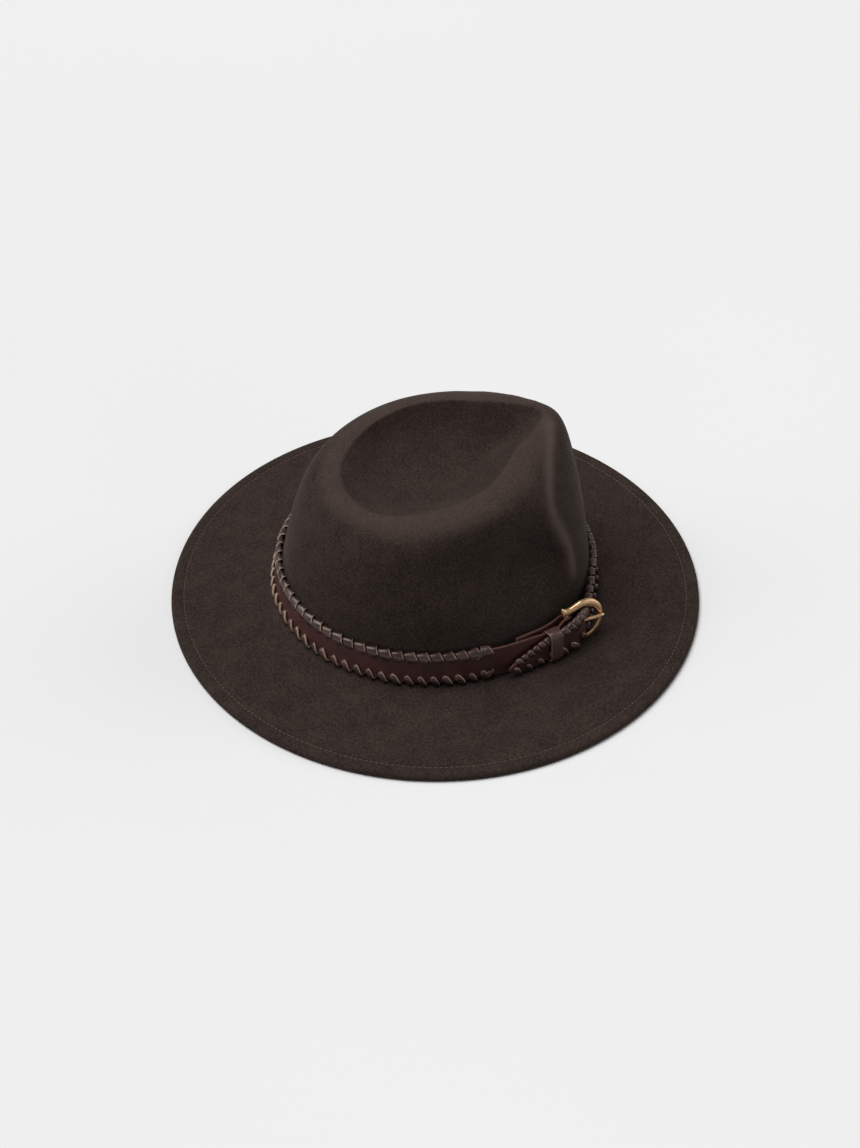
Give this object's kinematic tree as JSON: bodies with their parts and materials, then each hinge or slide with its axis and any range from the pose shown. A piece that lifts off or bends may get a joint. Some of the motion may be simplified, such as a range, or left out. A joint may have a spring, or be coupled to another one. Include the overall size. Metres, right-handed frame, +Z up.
{
  "type": "wool felt fedora hat with buckled leather band",
  "caption": "Wide-brimmed felt fedora with a pinched teardrop crown and a whip-laced leather strap buckled round the crown's foot.",
  "frame": {"origin": "middle of the bounding box on the plane that the brim rests on", "axes": "+Z up, the hat faces -Y, the wearer's left is +X"},
  "size_m": [0.329, 0.329, 0.1219],
  "materials": {
    "felt": "matt pressed wool felt",
    "strap_leather": "smooth satin leather",
    "lace_leather": "round glossy leather lace",
    "buckle_metal": "satin pale gold plating"
  },
  "bodies": {
    "root": {"felt_body": "felt", "leather_strap": "strap_leather", "lace_top": "lace_leather", "lace_bottom": "lace_leather", "keeper_loop": "strap_leather", "buckle_frame": "buckle_metal", "buckle_prong": "buckle_metal"}
  },
  "joints": []
}
